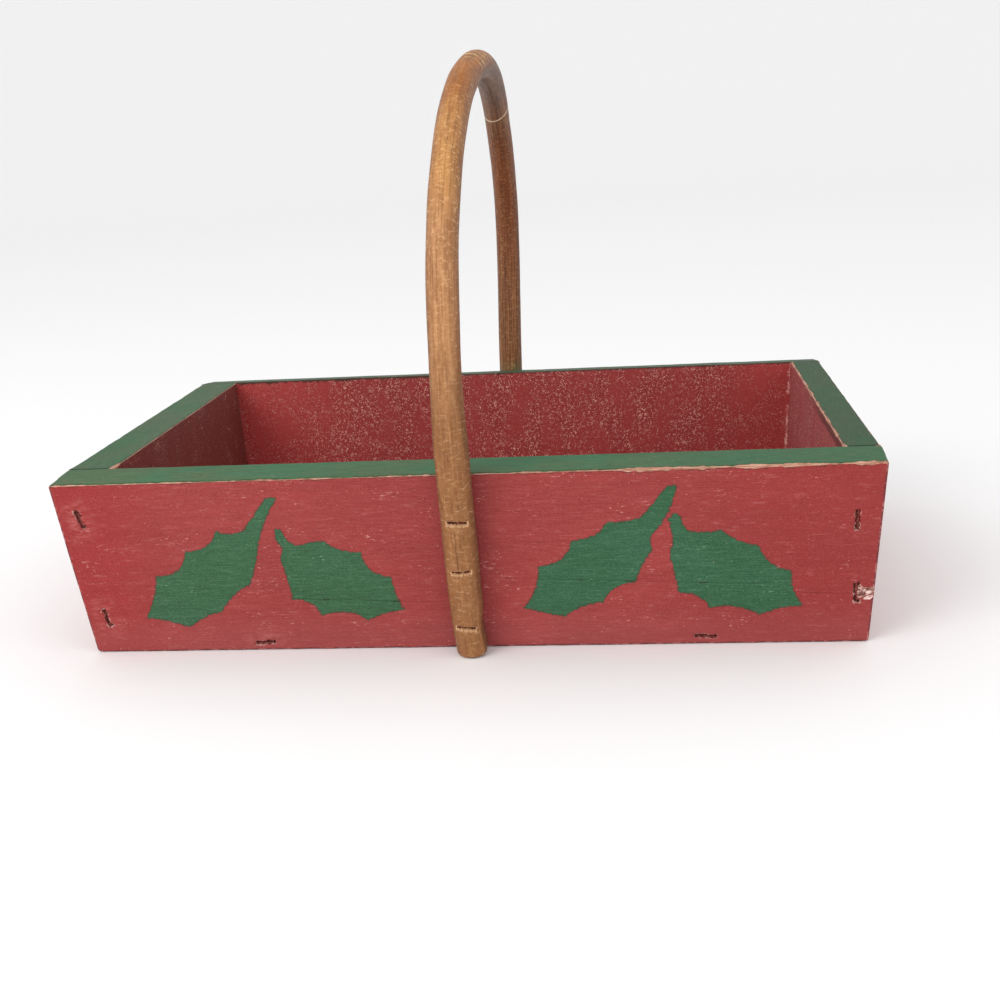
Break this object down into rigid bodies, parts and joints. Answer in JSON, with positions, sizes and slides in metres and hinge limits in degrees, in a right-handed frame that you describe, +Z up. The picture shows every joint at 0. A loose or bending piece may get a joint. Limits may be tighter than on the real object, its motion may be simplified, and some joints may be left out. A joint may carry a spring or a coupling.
{
  "type": "garden trug",
  "caption": "Open rectangular wooden box with sides that lean outwards, painted red with a green rim and holly leaves, carried by a bent cane handle stapled to its long sides.",
  "frame": {"origin": "on the ground, at the middle of the box in length and width", "axes": "+X along the box towards its thinner end board, +Y from the front board to the back board, +Z up"},
  "size_m": [0.3697, 0.275, 0.2667],
  "materials": {
    "painted_board": "thin matt red paint over timber, green along the rim, rubbed to bare wood on the edges",
    "painted_panel": "thin matt red paint over a plain panel, dusty inside",
    "bent_cane": "bare cane with fine lengthwise fibres, a little polished by hands, darker on the inside",
    "staple_wire": "dull flat wire with brown rust"
  },
  "bodies": {
    "root": {"front_board": "painted_board", "back_board": "painted_board", "left_end_board": "painted_board", "right_end_board": "painted_board", "bottom_panel": "painted_panel", "handle": "bent_cane", "end_staple_front_left_upper": "staple_wire", "end_staple_front_left_lower": "staple_wire", "end_staple_front_right_upper": "staple_wire", "end_staple_front_right_lower": "staple_wire", "end_staple_back_left_upper": "staple_wire", "end_staple_back_left_lower": "staple_wire", "end_staple_back_right_upper": "staple_wire", "end_staple_back_right_lower": "staple_wire", "bottom_staple_front_left": "staple_wire", "bottom_staple_front_right": "staple_wire", "bottom_staple_back_left": "staple_wire", "bottom_staple_back_right": "staple_wire", "handle_staple_front_upper": "staple_wire", "handle_staple_front_middle": "staple_wire", "handle_staple_front_lower": "staple_wire", "handle_staple_back_upper": "staple_wire", "handle_staple_back_middle": "staple_wire", "handle_staple_back_lower": "staple_wire"}
  },
  "joints": []
}
